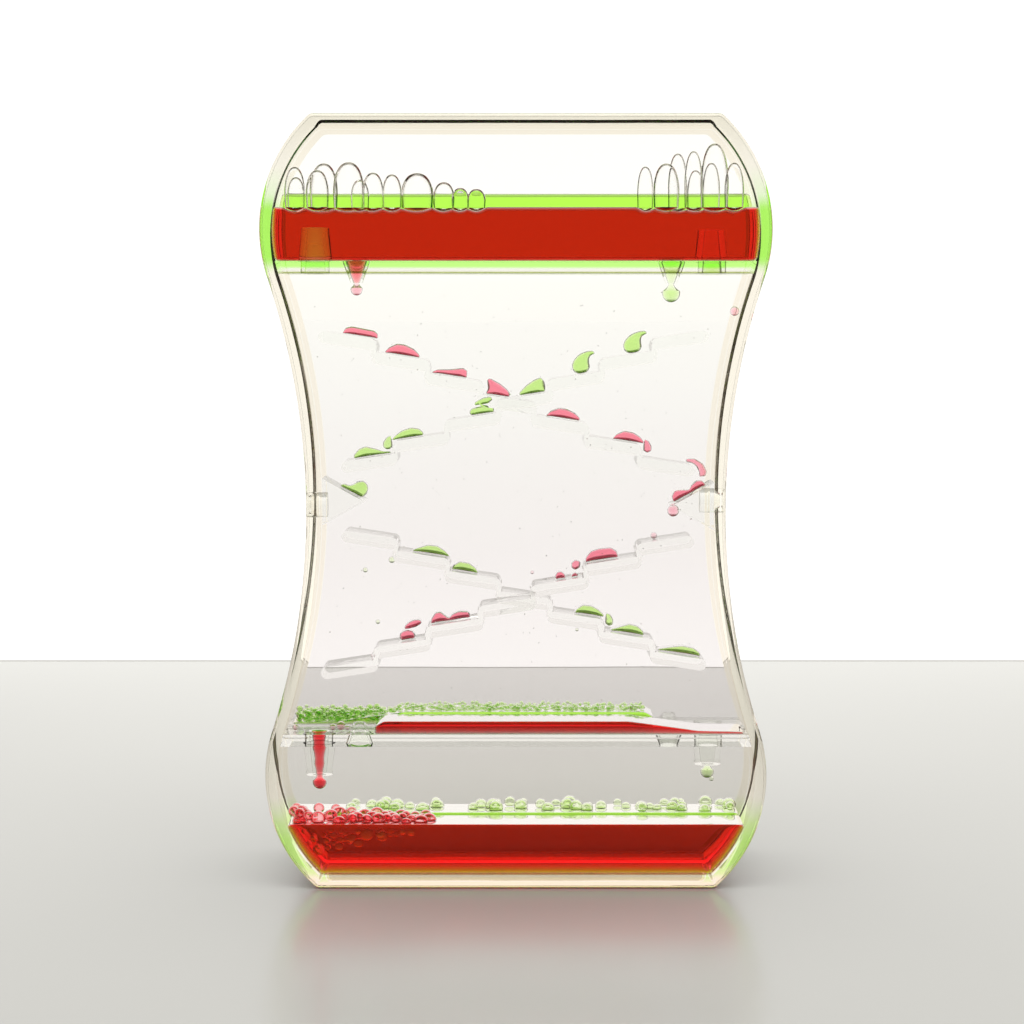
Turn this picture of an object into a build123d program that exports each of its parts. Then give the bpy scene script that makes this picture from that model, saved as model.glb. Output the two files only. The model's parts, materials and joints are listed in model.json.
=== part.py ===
from build123d import *
from math import cos, radians, sin, sqrt
import os

# Liquid motion timer: a clear hourglass-sided case in two trays with a divider
# between them. Each half is a sealed compartment of clear oil with a coloured
# liquid that drips through a nozzle, runs down two flights of steps and drains
# into the far reservoir. Front is -Y, millimetres, the base stands on Z = 0.
# Every compartment piece is made for the front; the rear is the same piece
# turned half a turn about Z, and the lower half mirrors the upper.

# Case outline
HEIGHT = 140.0
END_WIDTH = 73.0
BULGE_WIDTH = 91.4
BULGE_RISE = 20.5
WAIST_WIDTH = 75.6
END_CORNER = 1.6
EDGE_ROUND = 0.7

# Case depth and walls
CASE_DEPTH = 30.0
WALL = 2.0
DIVIDER = 2.0

# Glue film round each bonded insert, and oil film between a liquid and a solid
BOND = 0.05
FILM = 0.05
LANE_CLEARANCE = 0.2

# Shelves that close the reservoirs
SHELF_RISE = 26.0
SHELF = 2.2

# Standpipe on each shelf, reaching into the reservoir
PIPE_FROM_WALL = 6.9
PIPE_SPIGOT = 5.2
PIPE_BASE = 6.0
PIPE_TIP = 4.3
PIPE_REACH = 6.0
PIPE_BORE_BASE = 4.0
PIPE_BORE_TIP = 2.4
PIPE_RIM = 4.9
PIPE_RIM_HEIGHT = 0.6

# Drip nozzle: a funnel through each shelf, reaching into the stair chamber over the first step
NOZZLE_PAST_STEP = 1.5
NOZZLE_MOUTH = 5.0
NOZZLE_TIP = 2.2
NOZZLE_REACH = 1.6
NOZZLE_BORE_MOUTH = 4.2
NOZZLE_BORE_TIP = 1.2

# Flights of steps, set between a shelf, the two side walls and mid-height
STEPS = 7
STEP_FROM_WALL = 8.9
FIRST_STEP_DROP = 12.0
LAST_STEP_RISE = 7.1
STEP = 2.2
STEP_LAP = 0.46
STEP_TILT = 8.8
RISER = 0.9

# Turn ledge on the side wall, between the two flights
LEDGE_REACH = 7.8
LEDGE_SLOPE = 29.0

# Fill plug in the other side wall
PLUG = 4.6
PLUG_LENGTH = 3.4
PLUG_CHAMFER = 0.9
PLUG_RECESS = 0.1

# Liquid depths on the upper shelf and the floor, and the pool on the lower shelf
RED_DEPTH = 9.6
GREEN_DEPTH = 12.5
LOWER_DEPTH = 9.5
POOL_FROM_NOZZLE = 0.5
POOL_FROM_WALL = 0.9
POOL_DEEP = 2.4
POOL_TAPER = 14.0
POOL_THIN = 0.5

# Drops: their thickness front to back, and the beads that fall
DROP_DEPTH = 4.4
RED_BEAD = 2.2
GREEN_BEAD = 3.4
DRAIN_BEAD = 2.6
THREAD_TOP = 3.0
THREAD_TIP = 1.5
HANG = 0.1
LIP_OVERHANG = 0.2

# Each drop on a step: step number from the reservoir end, place of its middle
# along the step with downhill counted as plus, length and height
RED_UPPER = [(1, 2.0, 6.4, 1.9), (2, 0.0, 6.2, 2.4), (3, -1.1, 6.4, 1.8),
             (4, -2.1, 4.4, 2.8), (5, 0.4, 6.0, 2.4), (6, 2.6, 5.6, 2.8)]
RED_LOWER = [(6, 1.7, 6.0, 2.0), (5, -1.8, 4.8, 1.8), (3, 0.6, 7.2, 1.9), (2, -2.0, 4.6, 2.8)]
GREEN_UPPER = [(2, -2.0, 4.6, 2.8), (3, -2.0, 4.6, 2.8), (4, -1.8, 5.0, 2.4),
               (5, -2.0, 4.8, 2.6), (6, 2.4, 6.0, 2.6), (7, -0.6, 6.8, 2.2)]
GREEN_LOWER = [(6, 1.5, 7.0, 1.8), (5, -1.8, 5.0, 1.8), (3, 2.4, 5.6, 2.0),
               (2, 0.0, 6.4, 1.8), (1, 0.2, 8.2, 1.8)]
RED_TURN = (0.2, 6.4, 2.0)
GREEN_TURN = (1.4, 4.6, 2.6)

# Worked out from the sizes above
MID = HEIGHT / 2
BULGE_OUT = (BULGE_WIDTH - END_WIDTH) / 2
BULGE_RADIUS = (BULGE_OUT**2 + BULGE_RISE**2) / (2 * BULGE_OUT)
BULGE_X = BULGE_WIDTH / 2 - BULGE_RADIUS
BULGE_Z = MID - BULGE_RISE
WAIST_IN = WAIST_WIDTH / 2 - BULGE_X
WAIST_RADIUS = (WAIST_IN**2 + BULGE_Z**2 - BULGE_RADIUS**2) / (2 * (BULGE_RADIUS - WAIST_IN))
WAIST_X = WAIST_WIDTH / 2 + WAIST_RADIUS
NECK_COS = (WAIST_X - BULGE_X) / (WAIST_RADIUS + BULGE_RADIUS)
NECK_SIN = BULGE_Z / (WAIST_RADIUS + BULGE_RADIUS)
MIDPLANE = Plane.XY.offset(MID)


def wall_x(height):
    """Half of the inside width of the case at a height."""
    bulge, waist = BULGE_RADIUS - WALL, WAIST_RADIUS + WALL
    rise = abs(height - MID)
    if rise > BULGE_Z - bulge * NECK_SIN:
        return BULGE_X + sqrt(bulge**2 - (rise - BULGE_Z) ** 2)
    return WAIST_X - sqrt(waist**2 - rise**2)


# Depths, heights and places that follow from the case
WINDOW_INNER = CASE_DEPTH / 2 - WALL
DIVIDER_FACE = DIVIDER / 2
COMPARTMENT_Y = -(WINDOW_INNER + DIVIDER_FACE) / 2
SHELF_OUTER = HEIGHT - SHELF_RISE
SHELF_INNER = SHELF_OUTER - SHELF
LOWER_LEVEL = WALL + LOWER_DEPTH
FIRST_STEP_Z = SHELF_INNER - FIRST_STEP_DROP
FIRST_STEP_X = STEP_FROM_WALL - wall_x(FIRST_STEP_Z)
LAST_STEP_Z = MID + LAST_STEP_RISE
LAST_STEP_X = wall_x(LAST_STEP_Z) - STEP_FROM_WALL
STEP_PITCH = (LAST_STEP_X - FIRST_STEP_X) / (STEPS - 1)
STEP_FALL = (FIRST_STEP_Z - LAST_STEP_Z) / (STEPS - 1)
STEP_RUN = STEP_PITCH * cos(radians(STEP_TILT)) + STEP_FALL * sin(radians(STEP_TILT))
STEP_DROP = STEP_FALL * cos(radians(STEP_TILT)) - STEP_PITCH * sin(radians(STEP_TILT))
STEP_LENGTH = STEP_RUN + STEP_LAP
PIPE_X = PIPE_FROM_WALL - wall_x(SHELF_OUTER)
NOZZLE_X = FIRST_STEP_X + NOZZLE_PAST_STEP
POOL_LEFT = NOZZLE_X + NOZZLE_MOUTH / 2 + POOL_FROM_NOZZLE
POOL_RIGHT = wall_x(HEIGHT - SHELF_INNER) - POOL_FROM_WALL
LEDGE_WALL_X = WAIST_WIDTH / 2 - WALL
LEDGE_APEX_X = LEDGE_WALL_X - LEDGE_REACH
LEDGE_RISE = LEDGE_REACH * sin(radians(LEDGE_SLOPE)) / cos(radians(LEDGE_SLOPE))
LEDGE_LENGTH = LEDGE_REACH / cos(radians(LEDGE_SLOPE))


def outline(inset):
    """Front view of the case, shrunk all round by an inset, centred on the origin."""
    bulge, waist = BULGE_RADIUS - inset, WAIST_RADIUS + inset
    end_x = BULGE_X + sqrt(bulge**2 - (BULGE_RISE - inset) ** 2)
    end_z = MID - inset
    neck_x, neck_z = BULGE_X + bulge * NECK_COS, BULGE_Z - bulge * NECK_SIN
    right = [
        Line((0, end_z), (end_x, end_z)),
        ThreePointArc((end_x, end_z), (BULGE_X + bulge, BULGE_Z), (neck_x, neck_z)),
        ThreePointArc((neck_x, neck_z), (WAIST_X - waist, 0), (neck_x, -neck_z)),
        ThreePointArc((neck_x, -neck_z), (BULGE_X + bulge, -BULGE_Z), (end_x, -end_z)),
        Line((end_x, -end_z), (0, -end_z)),
    ]
    face = make_face(right + [mirror(edge, about=Plane.YZ) for edge in right])
    corners = [v for v in face.vertices() if abs(v.X) > BOND and abs(v.Y) > end_z - BOND]
    return fillet(corners, END_CORNER)


def slab(face, y_low, y_high):
    """Extrudes a front-view face, centred on mid-height, between two depths."""
    plane = Plane((0, y_high, MID), x_dir=(1, 0, 0), z_dir=(0, -1, 0))
    return extrude(plane * face, amount=y_high - y_low)


def cavity(gap, z_low, z_high):
    """The front compartment between two heights, clear of its walls by a gap."""
    block = slab(outline(WALL + gap), -WINDOW_INNER + gap, -DIVIDER_FACE - gap)
    band = Pos(0, 0, z_low) * Box(
        2 * BULGE_WIDTH, 2 * CASE_DEPTH, z_high - z_low, align=(Align.CENTER, Align.CENTER, Align.MIN))
    return block & band


def rod(x, z, diameter, height, tip=None):
    """Upright round rod or cone in the middle of the front compartment."""
    base, top = diameter / 2, (tip or diameter) / 2
    shape = Cylinder(base, height, align=(Align.CENTER, Align.CENTER, Align.MIN))
    if base != top:
        shape = Cone(base, top, height, align=(Align.CENTER, Align.CENTER, Align.MIN))
    return Pos(x, COMPARTMENT_Y, z) * shape


def to_lower(shape):
    return mirror(shape, about=MIDPLANE)


def to_rear(shape):
    return Rot(0, 0, 180) * shape


def plug_rod(diameter, x_outer, length):
    """Rod along X through the left wall into the front compartment."""
    return Pos(x_outer, COMPARTMENT_Y, MID) * Rot(0, 90, 0) * Cylinder(
        diameter / 2, length, align=(Align.CENTER, Align.CENTER, Align.MIN))


def front_shell():
    """Clear tray: the window and half of the side wall, with the fill hole."""
    tray = slab(outline(0), -CASE_DEPTH / 2, -DIVIDER_FACE - BOND)
    window_edges = tray.faces().sort_by(Axis.Y)[0].edges()
    tray = fillet(window_edges, EDGE_ROUND)
    tray -= slab(outline(WALL), -WINDOW_INNER, 0)
    return tray - plug_rod(PLUG, -WAIST_WIDTH / 2 - WALL, 3 * WALL)


def fill_plug():
    """Round plug glued into the fill hole, with a chamfered outer end."""
    plug = plug_rod(PLUG - 2 * BOND, -WAIST_WIDTH / 2 + PLUG_RECESS, PLUG_LENGTH)
    return chamfer(plug.faces().sort_by(Axis.X)[0].edges(), PLUG_CHAMFER)


def upper_shelf():
    """Plate that closes the upper reservoir, bored for the two nozzles."""
    plate = cavity(BOND, SHELF_INNER, SHELF_OUTER)
    plate -= rod(PIPE_X, SHELF_INNER - SHELF, PIPE_SPIGOT + 2 * BOND, 3 * SHELF)
    return plate - nozzle_envelope(BOND, BOND)


def pipe_envelope(grow):
    """Outside of the standpipe above its shelf."""
    cone = rod(PIPE_X, SHELF_OUTER, PIPE_BASE + 2 * grow, PIPE_REACH + grow, PIPE_TIP + 2 * grow)
    rim_z = SHELF_OUTER + PIPE_REACH - PIPE_RIM_HEIGHT - grow
    return cone + rod(PIPE_X, rim_z, PIPE_RIM + 2 * grow, PIPE_RIM_HEIGHT + 2 * grow)


def upper_standpipe():
    """Tapered tube with a rim at its tip and a spigot glued through the shelf."""
    tube = pipe_envelope(0) + rod(PIPE_X, SHELF_INNER, PIPE_SPIGOT, SHELF)
    return tube - rod(PIPE_X, SHELF_INNER, PIPE_BORE_BASE, SHELF + PIPE_REACH, PIPE_BORE_TIP)


def funnel(tip, mouth, under, over):
    """Cone from the drip nozzle's tip up to its mouth in the shelf, run on under and over them."""
    length = SHELF + NOZZLE_REACH
    spread = (mouth - tip) / length
    z_low = SHELF_INNER - NOZZLE_REACH - under
    return rod(NOZZLE_X, z_low, tip - spread * under, length + under + over, mouth + spread * over)


def nozzle_envelope(grow, past):
    """Outside of the drip nozzle."""
    return funnel(NOZZLE_TIP + 2 * grow, NOZZLE_MOUTH + 2 * grow, past, past)


def upper_drip_nozzle():
    """Funnel glued through the shelf, its mouth level with the shelf's upper face."""
    return nozzle_envelope(0, 0) - funnel(NOZZLE_BORE_TIP, NOZZLE_BORE_MOUTH, BOND, BOND)


def step_centre(number):
    return FIRST_STEP_X + STEP_PITCH * (number - 1), FIRST_STEP_Z - STEP_FALL * (number - 1)


def across(face, depth):
    """Extrudes a face drawn in the front view through the compartment's depth."""
    plane = Plane((0, COMPARTMENT_Y + depth / 2, 0), x_dir=(1, 0, 0), z_dir=(0, -1, 0))
    return extrude(plane * face, amount=depth)


def upper_steps(grow):
    """Flight of round-ended steps, each joined to the next by a low riser."""
    flight = None
    for number in range(1, STEPS + 1):
        tread = Pos(*step_centre(number)) * Rot(0, 0, -STEP_TILT) * SlotOverall(
            STEP_LENGTH + 2 * grow, STEP + 2 * grow)
        flight = tread if flight is None else flight + tread
        if number < STEPS:
            joint = (Vector(*step_centre(number)) + Vector(*step_centre(number + 1))) / 2
            flight += Pos(joint) * Rot(0, 0, -STEP_TILT) * Rectangle(RISER + 2 * grow, STEP_DROP)
    return across(flight, WINDOW_INNER - DIVIDER_FACE - 2 * BOND + 2 * grow)


def turn_ledge(grow):
    """Wedge on the right wall that turns the stream from one flight to the next."""
    rise = LEDGE_RISE * (LEDGE_REACH + WALL) / LEDGE_REACH
    wedge = make_face(Polyline(
        (LEDGE_APEX_X - grow, MID), (WAIST_WIDTH / 2, MID + rise + grow),
        (WAIST_WIDTH / 2, MID - rise - grow), close=True))
    return across(wedge, CASE_DEPTH) & cavity(BOND - grow, SHELF_RISE, SHELF_OUTER)


def capsule(length, radius):
    """Rod with round ends along X, centred on the origin."""
    half = max(length / 2 - radius, BOND)
    dome = radius / sqrt(2)
    profile = make_face([
        ThreePointArc((-half - radius, 0), (-half - dome, dome), (-half, radius)),
        Line((-half, radius), (half, radius)),
        ThreePointArc((half, radius), (half + dome, dome), (half + radius, 0)),
        Line((half + radius, 0), (-half - radius, 0)),
    ])
    return revolve(profile, Axis.X)


def lying_drop(seat, length, height, grow=0.0, run=(0.0, 0.0)):
    """Slug of liquid on a surface: a capsule cut flat a film above its seat."""
    radius = DROP_DEPTH / 2
    long = length + run[1] - run[0] + 2 * grow
    body = Pos((run[0] + run[1]) / 2, 0, FILM + height - radius) * capsule(long, radius + grow)
    floor = Pos(0, 0, FILM - grow) * Box(
        4 * long, 4 * DROP_DEPTH, 4 * DROP_DEPTH, align=(Align.CENTER, Align.CENTER, Align.MIN))
    return seat * (body & floor)


def step_seat(number, place, lower):
    """Middle of a drop on a step's top face, with X downhill along the step."""
    x, z = step_centre(number)
    centre = Pos(x, COMPARTMENT_Y, z)
    if lower:
        centre = Pos(x, COMPARTMENT_Y, HEIGHT - z) * Rot(0, 0, 180)
    return centre * Rot(0, STEP_TILT, 0) * Pos(place, 0, STEP / 2)


def ledge_seat(place):
    """Middle of a drop on the turn ledge's upper slope, with X downhill."""
    along = Location((LEDGE_APEX_X, COMPARTMENT_Y, MID)) * Rot(0, 0, 180) * Rot(0, LEDGE_SLOPE, 0)
    return along * Pos(place - LEDGE_LENGTH / 2, 0, 0)


def step_run(number, place, length, lower):
    """How far a drop can run up and down its step from its place."""
    first = STEPS if lower else 1
    back = STEP_LENGTH / 2 if number == first else STEP_RUN - STEP_LENGTH / 2 - 2 * LANE_CLEARANCE
    up = length / 2 - back - place
    down = STEP_LENGTH / 2 + LIP_OVERHANG - length / 2 - place
    return min(up, 0.0), max(down, 0.0)


def ledge_run(place, length, height):
    """How far the drop on the ledge can run up to the wall and down to its edge."""
    up = length / 2 - LEDGE_LENGTH / 2 + 2 * LANE_CLEARANCE + height * sin(radians(LEDGE_SLOPE)) - place
    return min(up, 0.0), max(LEDGE_LENGTH / 2 - length / 2 + LIP_OVERHANG - place, 0.0)


def bead_fall(bead, rows):
    """Fall of a bead from the nozzle to the first step, or to the drop that lies there."""
    x, z = step_centre(1)
    slope = sin(radians(STEP_TILT)) / cos(radians(STEP_TILT))
    landing = max((height for number, _, _, height in rows if number == 1), default=0.0)
    top = z - (NOZZLE_X - x) * slope + (STEP / 2 + FILM + landing) / cos(radians(STEP_TILT))
    ball_rise = bead / 2 * (1 / cos(radians(STEP_TILT)) - 1)
    return SHELF_INNER - NOZZLE_REACH - HANG - bead - top - ball_rise - LANE_CLEARANCE


def drain_fall():
    """Drop of the bead from the standpipe's tip to the pool below."""
    return SHELF_RISE - PIPE_REACH - HANG - DRAIN_BEAD - LOWER_LEVEL - LANE_CLEARANCE


def nozzle_bead(bead):
    """Round bead hanging under the drip nozzle."""
    z = SHELF_INNER - NOZZLE_REACH - HANG - bead / 2
    return Pos(NOZZLE_X, COMPARTMENT_Y, z) * Sphere(bead / 2)


def drain_bead():
    """Round bead under the lower standpipe."""
    z = SHELF_RISE - PIPE_REACH - HANG - DRAIN_BEAD / 2
    return Pos(PIPE_X, COMPARTMENT_Y, z) * Sphere(DRAIN_BEAD / 2)


def upper_pool(depth):
    """Coloured liquid standing on the upper shelf and in the funnel of its nozzle."""
    pool = cavity(FILM, SHELF_OUTER + FILM, SHELF_OUTER + depth) - pipe_envelope(FILM)
    thread = funnel(NOZZLE_BORE_TIP - 2 * FILM, NOZZLE_BORE_MOUTH - 2 * FILM, 0, 2 * FILM)
    return pool + thread


def shelf_pool(grow):
    """Pool on the lower shelf: a rounded near end and a long thin far end."""
    low = HEIGHT - SHELF_INNER + FILM - grow
    left, right = POOL_LEFT - grow, POOL_RIGHT + grow
    high, thin = low + POOL_DEEP + 2 * grow, low + POOL_THIN + 2 * grow
    nose = POOL_DEEP / 2
    edge = make_face([
        ThreePointArc((left + nose, low), (left, low + nose + grow), (left + nose, high)),
        Line((left + nose, high), (right - POOL_TAPER, high)),
        Line((right - POOL_TAPER, high), (right, thin)),
        Line((right, thin), (right, low)),
        Line((right, low), (left + nose, low)),
    ])
    depth = WINDOW_INNER - DIVIDER_FACE - 2 * FILM
    return across(edge, depth)


def drain_thread():
    """Liquid on its way down the lower standpipe's bore."""
    return rod(PIPE_X, SHELF_RISE - PIPE_REACH, THREAD_TIP, PIPE_REACH + SHELF, THREAD_TOP)


def clear_oil(lanes, depth):
    """Oil in one compartment: above both pools and all round the flights."""
    top = cavity(FILM, SHELF_OUTER + depth + FILM, HEIGHT - WALL - FILM)
    low = cavity(FILM, LOWER_LEVEL + FILM, SHELF_RISE - FILM) - to_lower(pipe_envelope(FILM))
    stairs = cavity(FILM, HEIGHT - SHELF_INNER + FILM, SHELF_INNER - FILM)
    pieces = [upper_steps(FILM), turn_ledge(2 * FILM), nozzle_envelope(FILM, FILM), shelf_pool(FILM)]
    pieces += [to_lower(pieces[0]), to_lower(pieces[2])]
    pieces.append(plug_rod(PLUG + 2 * FILM, -WAIST_WIDTH / 2, PLUG_LENGTH + PLUG_RECESS + FILM))
    stairs = stairs - (pieces + lanes)
    return Compound(children=[*top.solids(), *stairs.solids(), *(low - lanes).solids()])


def lane(x, z_low, z_high, diameter):
    return rod(x, z_low, diameter + 2 * LANE_CLEARANCE, z_high - z_low)


def compartment_pools(depth):
    """Standing liquid of one compartment by name."""
    return {
        "upper_pool": upper_pool(depth),
        "shelf_pool": shelf_pool(0),
        "lower_pool": cavity(FILM, WALL + FILM, LOWER_LEVEL),
    }


def compartment_drops(upper, lower, turn, bead):
    """Moving drops of one compartment by name, and the lanes the oil leaves for them."""
    drops = {"nozzle_bead": nozzle_bead(bead), "drain_bead": drain_bead()}
    tip, drain_tip = SHELF_INNER - NOZZLE_REACH, SHELF_RISE - PIPE_REACH
    lanes = [lane(NOZZLE_X, tip - HANG - bead - bead_fall(bead, upper) - LANE_CLEARANCE, tip, bead)]
    lanes.append(lane(PIPE_X, LOWER_LEVEL, drain_tip, DRAIN_BEAD))
    for flight, rows, is_lower in (("upper", upper, False), ("lower", lower, True)):
        for count, (number, place, length, height) in enumerate(rows, 1):
            seat = step_seat(number, place, is_lower)
            run = step_run(number, place, length, is_lower)
            drops[f"{flight}_drop_{count}"] = lying_drop(seat, length, height)
            lanes.append(lying_drop(seat, length, height, LANE_CLEARANCE, run))
    place, length, height = turn
    drops["turn_drop"] = lying_drop(ledge_seat(place), length, height)
    lanes.append(lying_drop(ledge_seat(place), length, height, LANE_CLEARANCE, ledge_run(*turn)))
    return drops, lanes


FRONT_PIECES = {
    "shell": front_shell(),
    "fill_plug": fill_plug(),
    "upper_shelf": upper_shelf(),
    "lower_shelf": to_lower(upper_shelf()),
    "upper_standpipe": upper_standpipe(),
    "lower_standpipe": to_lower(upper_standpipe()),
    "upper_drip_nozzle": upper_drip_nozzle(),
    "lower_drip_nozzle": to_lower(upper_drip_nozzle()),
    "upper_steps": upper_steps(0),
    "lower_steps": to_lower(upper_steps(0)),
    "turn_ledge": turn_ledge(0),
}

parts = {"divider_plate": slab(outline(0), -DIVIDER_FACE, DIVIDER_FACE), "red_drain_thread": drain_thread()}
for name, piece in FRONT_PIECES.items():
    parts[f"front_{name}"] = piece
    parts[f"rear_{name}"] = to_rear(piece)

red_drops, red_lanes = compartment_drops(RED_UPPER, RED_LOWER, RED_TURN, RED_BEAD)
green_drops, green_lanes = compartment_drops(GREEN_UPPER, GREEN_LOWER, GREEN_TURN, GREEN_BEAD)
for name, piece in (compartment_pools(RED_DEPTH) | red_drops).items():
    parts[f"red_{name}"] = piece
for name, piece in (compartment_pools(GREEN_DEPTH) | green_drops).items():
    parts[f"green_{name}"] = to_rear(piece)
parts["front_clear_oil"] = clear_oil(red_lanes, RED_DEPTH)
parts["rear_clear_oil"] = to_rear(clear_oil(green_lanes, GREEN_DEPTH))

os.makedirs("parts", exist_ok=True)
for name, piece in parts.items():
    export_step(piece, f"parts/{name}.step")
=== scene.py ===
import json
import random
from math import asin, atan2, ceil, cos, hypot, pi, radians, sin, sqrt, tau

import bmesh
import bpy
from mathutils import Matrix, Vector
from mathutils.geometry import delaunay_2d_cdt


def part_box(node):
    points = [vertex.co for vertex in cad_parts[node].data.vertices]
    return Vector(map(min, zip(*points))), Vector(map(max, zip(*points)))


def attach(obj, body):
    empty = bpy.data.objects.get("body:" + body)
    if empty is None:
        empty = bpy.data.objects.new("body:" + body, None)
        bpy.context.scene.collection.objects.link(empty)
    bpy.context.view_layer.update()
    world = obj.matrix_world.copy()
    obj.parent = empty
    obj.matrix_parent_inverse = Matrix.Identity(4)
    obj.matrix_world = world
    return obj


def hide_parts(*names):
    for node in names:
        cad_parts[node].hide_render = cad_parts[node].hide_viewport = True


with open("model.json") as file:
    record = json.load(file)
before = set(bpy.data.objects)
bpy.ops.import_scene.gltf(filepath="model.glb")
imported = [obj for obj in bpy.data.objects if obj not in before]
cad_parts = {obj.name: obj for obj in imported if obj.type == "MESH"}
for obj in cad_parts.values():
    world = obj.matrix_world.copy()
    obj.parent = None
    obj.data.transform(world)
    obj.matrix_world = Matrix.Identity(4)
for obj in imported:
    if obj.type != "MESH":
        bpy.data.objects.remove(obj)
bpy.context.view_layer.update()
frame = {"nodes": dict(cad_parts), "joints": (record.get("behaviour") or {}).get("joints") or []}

MM = 0.001
scene = bpy.context.scene

# The view: a camera about 0.4 m in front of the timer, a little below its shoulder and tipped
# slightly down. Light crosses many clear faces on its way, so paths are allowed to be long.
SENSOR, LENS = 36.0, 74.6
CAMERA_PLACE = (-0.7 * MM, -395 * MM, 105 * MM)
CAMERA_TIP = 5.39
LONG_PATH = 48
view = bpy.data.cameras.new("camera")
view.sensor_width, view.lens = SENSOR, LENS
camera = bpy.data.objects.new("camera", view)
camera.location = CAMERA_PLACE
camera.rotation_euler = (radians(90 - CAMERA_TIP), 0, 0)
scene.collection.objects.link(camera)
scene.camera = camera
scene.view_settings.view_transform = "Standard"
scene.cycles.max_bounces = LONG_PATH
scene.cycles.transmission_bounces = LONG_PATH
scene.cycles.transparent_max_bounces = LONG_PATH
scene.cycles.caustics_reflective = False
scene.cycles.caustics_refractive = True


# The studio: a pale lacquered table top, a lit white panel behind it, a soft box overhead, and
# grey surroundings to the sides that draw thin dark lines along the clear plastic's edges.
def linear(code):
    """Linear colour with full alpha from an sRGB hex code."""
    values = [int(code[i:i + 2], 16) / 255 for i in (1, 3, 5)]
    return (*[v / 12.92 if v <= 0.04045 else ((v + 0.055) / 1.055) ** 2.4 for v in values], 1.0)


def add_node(tree, kind, inputs=None, links=None, **settings):
    """Adds a node with its settings, its plain input values and its links."""
    node = tree.nodes.new(kind)
    for name, value in settings.items():
        setattr(node, name, value)
    for name, value in (inputs or {}).items():
        node.inputs[name].default_value = value
    for name, output in (links or {}).items():
        tree.links.new(output, node.inputs[name])
    return node


def new_material(name, **values):
    """Material whose Principled shader takes plain values, given with _ for a space."""
    material = bpy.data.materials.new(name)
    material.use_nodes = True
    shader = material.node_tree.nodes["Principled BSDF"]
    for key, value in values.items():
        shader.inputs[key.replace("_", " ")].default_value = value
    return material, material.node_tree, shader


def new_object(name, mesh, *materials):
    """Object of a mesh with its materials, in the scene."""
    for material in materials:
        mesh.materials.append(material)
    thing = bpy.data.objects.new(name, mesh)
    scene.collection.objects.link(thing)
    return thing


# Pale lacquer: an even light grey with a soft reflection of what stands on it.
lacquer = new_material("pale_lacquer", Roughness=0.22, Base_Color=linear("#D4D4D0"))[0]
FLOOR_GAP = 0.15 * MM
HALF_FLOOR = 20.0
corners = [(x * HALF_FLOOR, y * HALF_FLOOR, -FLOOR_GAP) for x, y in ((-1, -1), (1, -1), (1, 1), (-1, 1))]
floor_mesh = bpy.data.meshes.new("floor")
floor_mesh.from_pydata(corners, [], [(0, 1, 2, 3)])
new_object("floor", floor_mesh, lacquer)


def soft_box(name, place, turn, width, height, power):
    """Rectangular light that shines along its own -Z."""
    lamp = bpy.data.lights.new(name, "AREA")
    lamp.shape, lamp.size, lamp.size_y, lamp.energy = "RECTANGLE", width, height, power
    thing = bpy.data.objects.new(name, lamp)
    thing.location, thing.rotation_euler, thing.visible_camera = place, turn, True
    scene.collection.objects.link(thing)


PANEL_WIDTH, PANEL_HEIGHT, PANEL_GLOW = 0.44, 0.25, 0.8
PANEL_PLACE = (0, 0.24, 0.125)
TOP_SIZE, TOP_POWER = 0.6, 2.2
TOP_PLACE = (0, -0.1, 0.7)
soft_box("back_panel", PANEL_PLACE, (radians(90), 0, pi), PANEL_WIDTH, PANEL_HEIGHT,
         PANEL_WIDTH * PANEL_HEIGHT * pi * PANEL_GLOW)
soft_box("top_box", TOP_PLACE, (0, 0, 0), TOP_SIZE, TOP_SIZE, TOP_POWER)

world = bpy.data.worlds.new("studio")
scene.world = world
world.use_nodes = True
tree = world.node_tree
way = add_node(tree, "ShaderNodeTexCoord")
parts = add_node(tree, "ShaderNodeSeparateXYZ", links={"Vector": way.outputs["Generated"]})
depth = add_node(tree, "ShaderNodeMapRange", {"From Min": -1.0}, {"Value": parts.outputs["Y"]})
ramp = add_node(tree, "ShaderNodeValToRGB", links={"Fac": depth.outputs["Result"]})
FRONT_END, REAR_END = 0.15, 0.85
marks = ramp.color_ramp.elements
marks[0].position, marks[0].color = FRONT_END, linear("#8A8884")
marks[1].position, marks[1].color = REAR_END, linear("#A09C94")
marks.new(0.5).color = linear("#85796A")
SKY_FOOT, SKY_TOP = 0.35, 0.9
rise = add_node(tree, "ShaderNodeMapRange", {"From Min": SKY_FOOT, "From Max": SKY_TOP},
                {"Value": parts.outputs["Z"]})
sky = add_node(tree, "ShaderNodeMix", {"B": linear("#C8C8C4")},
               {"Factor": rise.outputs["Result"], "A": ramp.outputs["Color"]}, data_type="RGBA")
tree.links.new(sky.outputs["Result"], tree.nodes["Background"].inputs["Color"])

# The case's two trays, injection moulded in clear polystyrene: a flat window with half of the
# hourglass side wall, polished outside and wet with oil inside, glued to the divider at the rim.
case_low, case_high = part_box("divider_plate")
tray_low, tray_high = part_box("front_shell")
MID = (case_low.z + case_high.z) / 2
BULGE_WIDTH = case_high.x - case_low.x
END_WIDTH = 73.0 * MM
BULGE_RISE = 20.5 * MM
WAIST_WIDTH = 75.6 * MM
END_CORNER = 1.6 * MM
EDGE_ROUND = 0.7 * MM
INNER_ROUND = 0.1 * MM
WALL = 2.0 * MM
PLUG = 4.6 * MM
BULGE_OUT = (BULGE_WIDTH - END_WIDTH) / 2
BULGE_RADIUS = (BULGE_OUT**2 + BULGE_RISE**2) / (2 * BULGE_OUT)
BULGE_X = BULGE_WIDTH / 2 - BULGE_RADIUS
BULGE_Z = MID - BULGE_RISE
WAIST_IN = WAIST_WIDTH / 2 - BULGE_X
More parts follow.
